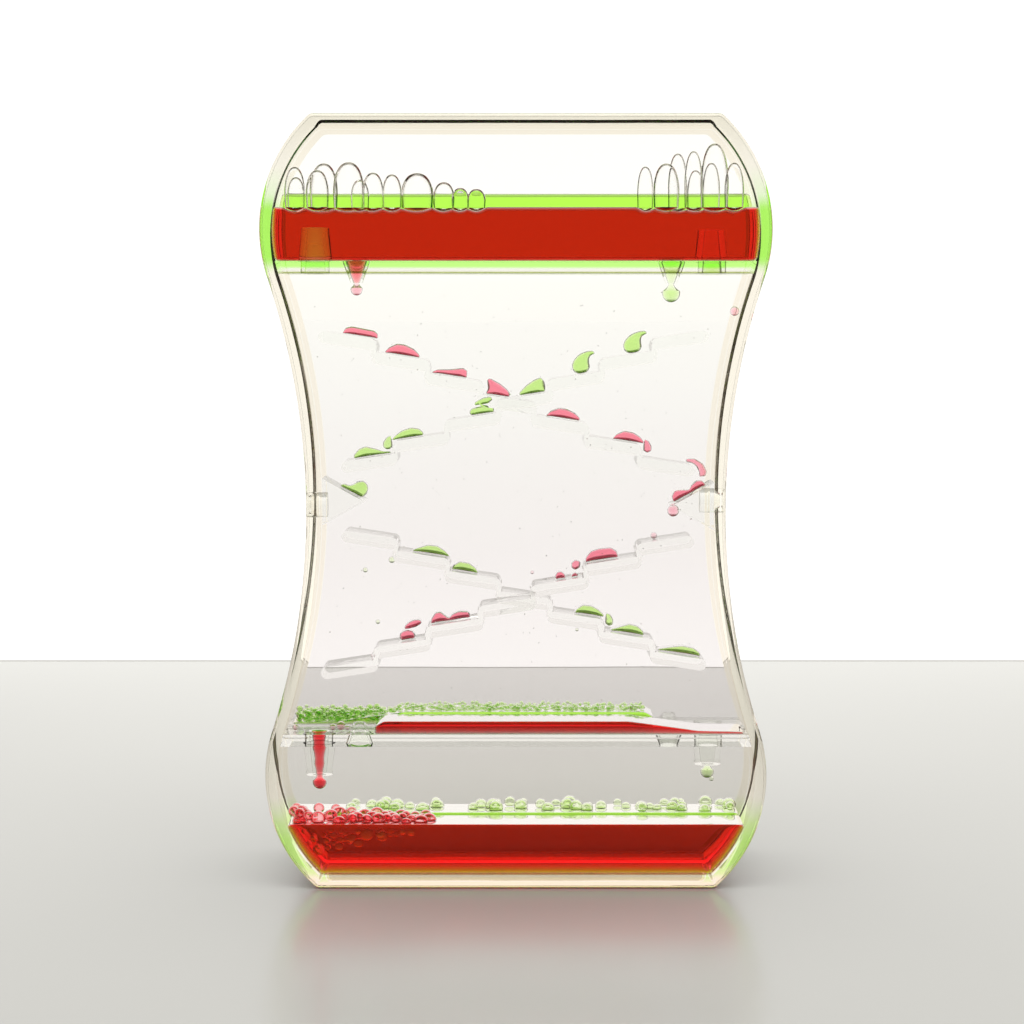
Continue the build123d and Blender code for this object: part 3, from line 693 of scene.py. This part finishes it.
DROP_EDGE, DROP_LONGEST, DROP_SPACING = 0.75, 0.8, 0.18
DROP_DEEP_EDGE = 1.5 * MM
COMMA = [
    (1.3, 0), (2.0, 0.3), (2.45, 1.0), (2.45, 1.8), (2.0, 2.6), (1.2, 3.3), (0.2, 3.75), (-0.9, 3.95),
    (-1.9, 3.9), (-2.35, 3.6), (-2.3, 3.15), (-1.8, 3.05), (-1.3, 2.8), (-1.05, 2.3), (-1.0, 1.7),
    (-1.05, 1.1), (-0.8, 0.5), (-0.3, 0.1), (0.3, 0)]
DROP_OUTLINES = {
    "red_upper_drop_1": [
        [(-3.3, 0), (-2.9, 1.1), (-1.8, 1.55), (2.4, 1.4), (3.2, 0.9), (3.3, 0)]],
    "red_upper_drop_2": [
        [(-3.3, 0), (-2.7, 1.1), (-1.3, 2.0), (0.2, 2.05), (2.0, 1.5), (3.2, 0.6), (3.2, 0)]],
    "red_upper_drop_3": [
        [(-3.3, 0), (-2.4, 0.8), (0, 1.2), (2.3, 1.8), (3.2, 1.4), (3.3, 0)]],
    "red_upper_drop_4": [
        [(-2.0, 0), (-1.75, 1.0), (-2.2, 2.7), (-1.6, 3.0), (0.5, 2.2), (2.0, 1.3), (2.5, 0.5),
         (2.3, 0)]],
    "red_upper_drop_5": [
        [(-3.2, 0), (-2.6, 1.0), (-1.1, 1.85), (0.3, 1.9), (2.0, 1.4), (3.1, 0.6), (3.1, 0)]],
    "red_upper_drop_6": [
        [(-2.9, 0), (-2.3, 1.0), (-0.9, 1.85), (0.8, 1.8), (2.2, 1.2), (2.9, 0.5), (2.9, 0)]],
    "red_turn_drop": [
        [(-3.3, 0), (-3.1, 1.0), (-2.2, 1.6), (-0.9, 1.3), (-0.1, 0.8), (0.9, 1.4), (2.3, 1.9),
         (3.3, 1.2), (3.5, 0.2), (3.0, 0)]],
    "red_lower_drop_1": [
        [(3.1, 0), (2.9, 0.9), (1.8, 1.9), (0.2, 2.15), (-2.0, 2.0), (-3.0, 1.2), (-3.1, 0)]],
    "red_lower_drop_2": [
        [(0.4, 0), (0.5, 0.8), (1.1, 1.4), (1.9, 1.35), (2.4, 0.7), (2.4, 0)],
        [(-1.9, 0), (-1.8, 0.5), (-1.2, 0.8), (-0.6, 0.5), (-0.5, 0)]],
    "red_lower_drop_3": [
        [(3.7, 0), (3.5, 0.9), (2.6, 1.9), (1.6, 1.9), (0.6, 0.9), (0.3, 0.55), (-0.5, 1.2),
         (-1.7, 1.5), (-3.5, 1.2), (-3.7, 0.6), (-3.7, 0)]],
    "red_lower_drop_4": [
        [(2.1, 0), (2.4, 0.6), (2.2, 1.3), (1.5, 1.75), (0.5, 1.7), (-0.4, 1.3), (-0.7, 0.5),
         (-0.4, 0)],
        [(1.2, 2.0), (1.1, 2.6), (0.3, 3.2), (-0.8, 3.5), (-1.8, 3.4), (-2.3, 2.9), (-1.9, 2.4),
         (-0.9, 2.0), (0.2, 1.9)]],
    "green_upper_drop_1": [COMMA],
    "green_upper_drop_2": [[(run * 0.96, rise * 1.03) for run, rise in COMMA]],
    "green_upper_drop_3": [
        [(2.5, 0), (2.6, 0.6), (1.2, 1.7), (-0.6, 2.6), (-1.9, 2.85), (-2.4, 2.2), (-2.5, 1.0),
         (-2.3, 0)]],
    "green_upper_drop_4": [
        [(2.2, 0), (2.5, 0.7), (1.9, 1.4), (0.2, 1.5), (-1.5, 1.3), (-2.3, 0.8), (-2.2, 0)],
        [(1.3, 1.75), (1.2, 2.4), (-0.6, 3.1), (-2.1, 3.1), (-2.35, 2.4), (-1.4, 1.75)]],
    "green_upper_drop_5": [
        [(-3.0, 0), (-3.1, 0.7), (-2.3, 1.5), (-0.8, 1.9), (0.9, 1.6), (2.3, 0.9), (2.9, 0.3),
         (2.9, 0)]],
    "green_upper_drop_6": [
        [(3.5, 0), (3.4, 0.8), (2.4, 1.7), (1.0, 2.0), (-0.8, 1.3), (-2.2, 0.6), (-3.5, 0.35),
         (-3.6, 0)]],
    "green_turn_drop": [
        [(-2.4, 0), (-2.45, 0.5), (-1.8, 0.9), (-1.0, 1.0), (-0.5, 1.5), (0.0, 2.4), (0.9, 3.0),
         (1.8, 2.9), (2.5, 2.2), (2.7, 1.2), (2.4, 0.3), (2.0, 0)]],
    "green_lower_drop_1": [
        [(-3.5, 0), (-3.4, 0.35), (-2.6, 0.8), (-0.9, 1.6), (1.0, 1.7), (2.6, 1.0), (3.5, 0.3),
         (3.5, 0)]],
    "green_lower_drop_2": [
        [(-2.5, 0), (-2.2, 0.9), (-1.2, 1.7), (0.6, 1.7), (2.0, 1.0), (2.5, 0.3), (2.5, 0)]],
    "green_lower_drop_3": [
        [(-2.8, 0), (-2.5, 0.8), (-1.4, 1.7), (0.2, 1.8), (1.7, 1.3), (2.8, 0.5), (2.8, 0)]],
    "green_lower_drop_4": [
        [(-3.2, 0), (-3.1, 0.3), (-1.6, 1.0), (0.2, 1.75), (1.8, 1.6), (3.0, 0.8), (3.2, 0)]],
    "green_lower_drop_5": [
        [(-4.1, 0), (-4.0, 0.3), (-2.0, 0.9), (0.4, 1.5), (2.6, 1.4), (3.9, 0.7), (4.1, 0)]],
}
for node, outlines in DROP_OUTLINES.items():
    colour = node.split("_")[0]
    low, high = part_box(node)
    place, up = seat(node)
    mesh = pillow(node, outlines, place, low.y, high.y,
                  DROP_EDGE, DROP_DEEP_EDGE, DROP_LONGEST, DROP_SPACING)
    # The drop's underside gets a painted shade.
    paint_foot_shade(mesh, up)
    drop = new_object(node.replace("drop", "liquid_drop"), mesh, liquids[colour])
    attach(drop, node)
    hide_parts(node)

# Liquid caught on the lips of the steps: heads that hang over an edge on their way down. They stay
# where they hang, so they ride with the case. Their outlines start from the foot of the drop named.
LIP_GAP, LIP_DEEP_EDGE = 0.4 * MM, 1.2 * MM
LIP_OUTLINES = {
    "red_upper_drop_6": [
        (2.95, 0.9), (3.8, 0.7), (4.5, -0.2), (4.6, -1.1), (3.9, -1.6), (3.1, -1.3), (2.95, -0.3)],
    "red_lower_drop_1": [
        (3.95, 0.4), (4.8, 0.75), (5.6, 0.3), (5.75, -0.6), (5.1, -1.2), (4.2, -0.9), (3.9, -0.2)],
    "green_upper_drop_5": [
        (3.0, 1.0), (3.9, 0.8), (4.7, 0.0), (4.9, -0.9), (4.4, -1.5), (3.6, -1.6), (3.05, -1.1),
        (3.0, -0.3)],
    "green_lower_drop_3": [
        (3.15, 0.9), (4.0, 0.7), (4.7, -0.2), (4.8, -1.1), (4.1, -1.6), (3.3, -1.2), (3.15, -0.3)],
}
for node, points in LIP_OUTLINES.items():
    colour = node.split("_")[0]
    low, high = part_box(node)
    place, up = seat(node)
    name = node.replace("drop", "lip_head")
    mesh = pillow(name, [points], place, low.y + LIP_GAP, high.y - LIP_GAP,
                  DROP_EDGE, LIP_DEEP_EDGE, DROP_LONGEST, DROP_SPACING)
    # The head's underside gets a painted shade.
    paint_foot_shade(mesh, up)
    head = new_object(name, mesh, liquids[colour])
    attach(head, "case")

# Loose liquid about the flights: the red stream that curls off the last upper step, a few beads on
# the wall, the treads and the lower shelf, and small ones that fall through the oil. The curl's
# points are x and z in mm, and a bead has its radius third.
CURL_GAP, CURL_EDGE, CURL_DEEP_EDGE = 0.7 * MM, 0.6 * MM, 1.2 * MM
CURL = [
    (30.9, 78.5), (32.5, 78.5), (34.1, 77.5), (34.8, 76.1), (34.5, 75.2), (33.3, 75.1), (33.3, 75.9),
    (32.9, 76.9), (32.1, 77.55), (30.9, 77.8)]
low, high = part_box("red_turn_drop")
points = [(x * MM, z * MM) for x, z in CURL]
mesh = pillow("red_curl", [points], upright, low.y + CURL_GAP, high.y - CURL_GAP,
              CURL_EDGE, CURL_DEEP_EDGE, DROP_LONGEST * MM, DROP_SPACING * MM)
curl = new_object("red_curl", mesh, liquids["red"])
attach(curl, "case")
LOOSE_BEADS = {
    "red": [
        (39.55, 105.1, 0.85), (28.7, 68.9, 1.1), (25.2, 64.35, 0.6), (-26.2, 42.2, 0.4),
        (3.0, 57.6, 0.35), (-33.7, 28.9, 0.6), (-32.2, 29.15, 0.85), (-31.0, 28.75, 0.45),
        (-40.6, 28.85, 0.55)],
    "green": [
        (-23.2, 58.8, 0.62), (-28.2, 56.9, 0.5), (-25.9, 47.1, 0.45), (11.5, 45.6, 0.35),
        (37.0, 17.2, 0.5)],
}
for colour, beads in LOOSE_BEADS.items():
    low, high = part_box(f"{colour}_turn_drop")
    places = [((x * MM, (low.y + high.y) / 2, z * MM), radius * MM) for x, z, radius in beads]
    name = f"{colour}_loose_beads"
    loose = new_object(name, balls(name, places), liquids[colour])
    # The beads' undersides get a painted shade.
    paint_foot_shade(loose.data, Vector((0, 0, 1)))
    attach(loose, "case")


# The beads: a drop about to leave each drip nozzle and one under each lower standpipe, drawn out
# to a point at the top, and the thread of red liquid that runs down the lower standpipe.
def turned(name, x, y, profile, sides=40):
    """Round form about an upright axis through radius, height points."""
    rings = [[(x + r * cos(tau * i / sides), y + r * sin(tau * i / sides), z) for i in range(sides)]
             for r, z in profile]
    return lofted(name, rings)


NECK_RADIUS, NECK_REACH = 0.5 * MM, 0.08 * MM
NECK_TAPER = 1.6


def tear(radius, low, high):
    """Profile of a hanging bead, round below and drawn out to a thin neck above."""
    angles = [radians(8 + 14 * i) for i in range(8)]
    profile = [(radius * sin(a), low + radius * (1 - cos(a))) for a in angles]
    wide, shoulder = profile[-1]
    return profile + [(wide * (1 - s) ** NECK_TAPER + NECK_RADIUS * s, shoulder + (high - shoulder) * s)
                      for s in (0.2, 0.4, 0.6, 0.8, 0.95, 1.0)]


FUNNEL_TIP, FUNNEL_MOUTH = 0.6 * MM, 2.1 * MM
# The funnels hold less depth than a pool: the red is dyed stronger there to show as full a colour.
funnels = {
    "red": dyed_water("red_funnel_water", (1.0, 0.0, 0.1), 650, "#96303F"),
    "green": pools["green"],
}
# Foam and the narrow draining stream are seen through many skins, so they look denser than a pool.
dense = {
    "red": dyed_water("red_dense_water", (1.0, 0.0, 0.08), 1200, "#7A1018"),
    "green": dyed_water("green_dense_water", (0.5, 0.82, 0.0), 1300, "#4F7020"),
}
for colour, side in (("red", "front"), ("green", "rear")):
    low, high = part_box(f"{side}_upper_drip_nozzle")
    profile = [(FUNNEL_TIP - FILM, low.z), (FUNNEL_MOUTH - FILM, high.z)]
    name = f"{colour}_funnel_liquid"
    fill = new_object(name, turned(name, *axis_of(low, high), profile), funnels[colour])
    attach(fill, "case")
    for kind in ("nozzle_bead", "drain_bead"):
        node = f"{colour}_{kind}"
        low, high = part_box(node)
        profile = tear((high.x - low.x) / 2, low.z, high.z + NECK_REACH)
        mesh = turned(node, *axis_of(low, high), profile)
        # The bead's underside gets a painted shade.
        paint_foot_shade(mesh, Vector((0, 0, 1)))
        water = dense if node == "red_drain_bead" else liquids
        bead = new_object(f"{colour}_hanging_{kind}", mesh, water[colour])
        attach(bead, node)
        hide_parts(node)
low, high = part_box("red_drain_thread")
THREAD_RADII = [1.42, 1.38, 1.2, 1.28, 1.02, 0.88, 0.95, 0.7, 0.62]
steps = len(THREAD_RADII) - 1
profile = [(r * MM, high.z - (high.z - low.z) * i / steps) for i, r in enumerate(THREAD_RADII)]
mesh = turned("red_drain_stream", *axis_of(low, high), profile)
thread = new_object("red_drain_stream", mesh, dense["red"])
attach(thread, "case")
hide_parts("red_drain_thread")

# The foam: oil bubbles in a thin clear skin of water, heaped on the upper red pool at both ends, and
# smaller ones in dyed skins on both lower pools and on the lower shelf.
SKIN_IN_OIL = 0.87
# A skin too thin to show its dye: clear, with a dark line along its rim.
skin_water = new_material("clear_water_skin", Base_Color=linear("#FFFFFF"), Roughness=0.0,
                          IOR=SKIN_IN_OIL, Transmission_Weight=1.0)[0]
HEAP_GAP = 0.08 * MM
FREE_RADIUS, WALL_GAP = 1.5, 0.3
TRIES = 60
DOME_MIDDLE, DOME_FULL = 0.35, 0.85


def heap(name, material, seed, count, spread, sizes, level, tallest, skin, close, free=None):
    """Heap of domes between limits of x and y in mm, clear of a bead's free fall.

    Tallest gives its height in mm at an x, skin the thickness of hollow ones in mm, and close how
    near two may come, as a part of their radii.
    """
    dice = random.Random(seed)
    x_low, x_high, y_low, y_high = spread
    placed = []
    for _ in range(count * TRIES):
        if len(placed) == count:
            break
        x = dice.uniform(x_low, x_high)
        top = tallest(x)
        radius = min(dice.uniform(*sizes), top)
        rise = dice.uniform(0, max(top - radius, 0))
        y = dice.uniform(y_low + radius, y_high - radius)
        centre = Vector((x * MM, y * MM, level + rise * MM))
        if abs(centre.x) > wall_x(centre.z) - (radius + WALL_GAP) * MM:
            continue
        if free and hypot(centre.x - free[0], centre.y - free[1]) < (radius + FREE_RADIUS) * MM:
            continue
        if all((centre - other).length > close * (radius + size) * MM for other, size in placed):
            placed.append((centre, radius))
    mesh = balls(name, [(centre, radius * MM) for centre, radius in placed], level + HEAP_GAP)
    if skin:
        inner = [(centre, (radius - skin) * MM) for centre, radius in placed]
        hollowed(mesh, balls(name, inner, level + HEAP_GAP + skin * MM))
    bubbles = new_object(name, mesh, material)
    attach(bubbles, "case")
    return bubbles


def dome(half, foot, top):
    """Profile of a bubble on the pool, its foot rounded into the dent below it."""
    middle = foot + DOME_MIDDLE * (top - foot)
    profile = [(half * s, foot - DENT * (1 - s * s)) for s in (0.08, 0.3, 0.5, 0.7, 0.85, 0.95)]
    rise = [radians(9 * i) for i in range(10)] + [radians(87)]
    return profile + [(half * cos(a) ** DOME_FULL, middle + (top - middle) * sin(a)) for a in rise]


dice = random.Random(21)
low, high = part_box("red_upper_pool")
shape = bmesh.new()
SKIN, SIDE_SKIN = 0.15 * MM, 0.02 * MM
for x, half, top in UPPER_FOAM:
    y = dice.uniform(low.y + (half + WALL_GAP) * MM, high.y - (half + WALL_GAP) * MM)
    outer = turned("bubble", x * MM, y, dome(half * MM, high.z + HEAP_GAP, top * MM))
    inner = dome(half * MM - SIDE_SKIN, high.z + HEAP_GAP + SIDE_SKIN, top * MM - SKIN)
    hollowed(outer, turned("bubble", x * MM, y, inner))
    shape.from_mesh(outer)
    bpy.data.meshes.remove(outer)
mesh = bpy.data.meshes.new("red_upper_foam")
shape.to_mesh(mesh)
shape.free()
foam = new_object("red_upper_foam", mesh, skin_water)
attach(foam, "case")

low_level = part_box("red_lower_pool")[1].z
shelf_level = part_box("green_shelf_pool")[1].z
falls = {colour: axis_of(*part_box(f"{colour}_drain_bead")) for colour in ("red", "green")}
low_red = heap(
    "red_lower_foam", dense["red"], seed=5, count=64, spread=(-42, -16, -12.4, -2), sizes=(0.9, 1.6),
    level=low_level, tallest=lambda x: 3.2 - 1.8 * (x + 42) / 26, skin=0.25, close=0.85, free=falls["red"])
low_green = heap(
    "green_lower_foam", liquids["green"], seed=8, count=46, spread=(-32, 43, 2, 12.4), sizes=(0.8, 1.5),
    level=low_level, tallest=lambda x: 1.9, skin=0.5, close=0.9, free=falls["green"])
shelf_green = heap(
    "green_shelf_foam", dense["green"], seed=13, count=220, spread=(-42, -22, 2, 12.6), sizes=(0.35, 0.75),
    level=STAIRS_LOW + 0.3 * MM, tallest=lambda x: 2.6, skin=0, close=0.95)
line_green = heap(
    "green_shelf_line", dense["green"], seed=17, count=260, spread=(-22, 24, 2.3, 12.4), sizes=(0.3, 0.49),
    level=shelf_level, tallest=lambda x: 1.0, skin=0, close=0.9)

# Bubbles of oil sunk in the lower red pool, close behind the window at its left end and deepest at
# the wall. All values are in mm.
SUNK, SUNK_TRIES = 60, 900
SUNK_SIZES = (0.5, 1.3)
SUNK_LEFT, SUNK_RIGHT = -41, -19
SUNK_DEPTH, SUNK_BACK = 4.2, 2.5
SUNK_SKIN, SUNK_WALL, SUNK_GAP = 1.0, 1.1, 0.05
pool = bpy.data.objects["red_lower_liquid"]
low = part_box("red_lower_pool")[0]
sunk = []
for _ in range(SUNK_TRIES):
    radius, x = dice.uniform(*SUNK_SIZES), dice.uniform(SUNK_LEFT, SUNK_RIGHT)
    deepest = SUNK_DEPTH * (SUNK_RIGHT - x) / (SUNK_RIGHT - SUNK_LEFT)
    z = low_level / MM - SUNK_SKIN - radius - dice.uniform(0, deepest)
    y = low.y / MM + SUNK_SKIN + radius + dice.uniform(0, SUNK_BACK)
    inside = abs(x) < wall_x(z * MM) / MM - SUNK_WALL - radius and z > low.z / MM + SUNK_WALL + radius
    here = Vector((x, y, z))
    apart = all((here - place).length > radius + size + SUNK_GAP for place, size in sunk)
    if inside and apart and len(sunk) < SUNK:
        sunk.append((here, radius))
hollowed(pool.data, balls("sunk_bubbles", [(place * MM, size * MM) for place, size in sunk]))
